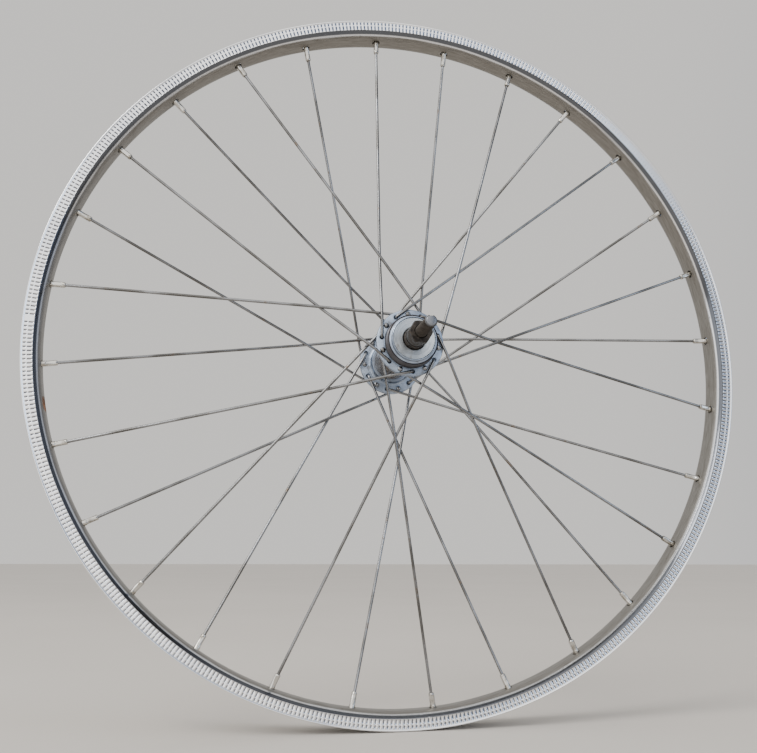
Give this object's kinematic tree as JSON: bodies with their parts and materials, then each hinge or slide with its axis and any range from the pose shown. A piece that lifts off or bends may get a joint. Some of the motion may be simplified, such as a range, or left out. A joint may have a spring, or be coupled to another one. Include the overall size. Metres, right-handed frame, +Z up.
{
  "type": "bicycle wheel",
  "caption": "Small spoked rear bicycle wheel: chromed steel rim with a ribbed braking track, crossed wire spokes, low-flange hub with a freewheel thread and a solid axle.",
  "frame": {"origin": "the point on the wheel's axis in the middle plane of the rim, which is also the middle of the axle and of the part's box", "axes": "the wheel turns about the Y axis; its drive side, with the freewheel thread, faces -Y; +Z is up and +X is to the right seen from the drive side"},
  "size_m": [0.5036, 0.167, 0.5036],
  "materials": {
    "rim_chrome": "bright chrome plate, cross-ribbed on the braking track, dull grey in the spoke bed",
    "spoke_steel": "dulled zinc plate on the wires, brighter nickel plate on the nipples",
    "hub_chrome": "worn satin chrome plate, browned on the barrel",
    "bearing_steel": "hardened, polished and greased",
    "nickel_cap": "dull nickel plate",
    "oiled_steel": "bare steel under old oil"
  },
  "bodies": {
    "axle_set": {"axle": "oiled_steel", "drive_cone": "oiled_steel", "plain_cone": "oiled_steel", "drive_keyed_washer": "oiled_steel", "plain_keyed_washer": "oiled_steel", "drive_spacer": "oiled_steel", "drive_locknut": "oiled_steel", "plain_locknut": "oiled_steel"},
    "wheel": {"rim": "rim_chrome", "spoke_01": "spoke_steel", "spoke_02": "spoke_steel", "spoke_03": "spoke_steel", "spoke_04": "spoke_steel", "spoke_05": "spoke_steel", "spoke_06": "spoke_steel", "spoke_07": "spoke_steel", "spoke_08": "spoke_steel", "spoke_09": "spoke_steel", "spoke_10": "spoke_steel", "spoke_11": "spoke_steel", "spoke_12": "spoke_steel", "spoke_13": "spoke_steel", "spoke_14": "spoke_steel", "spoke_15": "spoke_steel", "spoke_16": "spoke_steel", "spoke_17": "spoke_steel", "spoke_18": "spoke_steel", "spoke_19": "spoke_steel", "spoke_20": "spoke_steel", "spoke_21": "spoke_steel", "spoke_22": "spoke_steel", "spoke_23": "spoke_steel", "spoke_24": "spoke_steel", "spoke_25": "spoke_steel", "spoke_26": "spoke_steel", "spoke_27": "spoke_steel", "spoke_28": "spoke_steel", "drive_flange": "hub_chrome", "plain_flange": "hub_chrome", "hub_barrel": "hub_chrome", "drive_bearing_cup": "bearing_steel", "plain_bearing_cup": "bearing_steel", "drive_dust_cap": "nickel_cap", "plain_dust_cap": "nickel_cap"},
    "drive_balls": {"drive_ball_retainer": "bearing_steel"},
    "plain_balls": {"plain_ball_retainer": "bearing_steel"}
  },
  "joints": [
    {"name": "wheel_spin", "type": "hinge", "parent": "axle_set", "child": "wheel", "pos_m": [0, 0, 0], "axis": [0, 1, 0], "continuous": true},
    {"name": "drive_balls_orbit", "type": "hinge", "parent": "axle_set", "child": "drive_balls", "pos_m": [0, -0.0321, 0], "axis": [0, 1, 0], "continuous": true},
    {"name": "plain_balls_orbit", "type": "hinge", "parent": "axle_set", "child": "plain_balls", "pos_m": [0, 0.0431, 0], "axis": [0, 1, 0], "continuous": true}
  ],
  "couplings": [
    {"joint": "drive_balls_orbit", "follows": "wheel_spin", "ratio": 0.617},
    {"joint": "plain_balls_orbit", "follows": "wheel_spin", "ratio": 0.617}
  ]
}
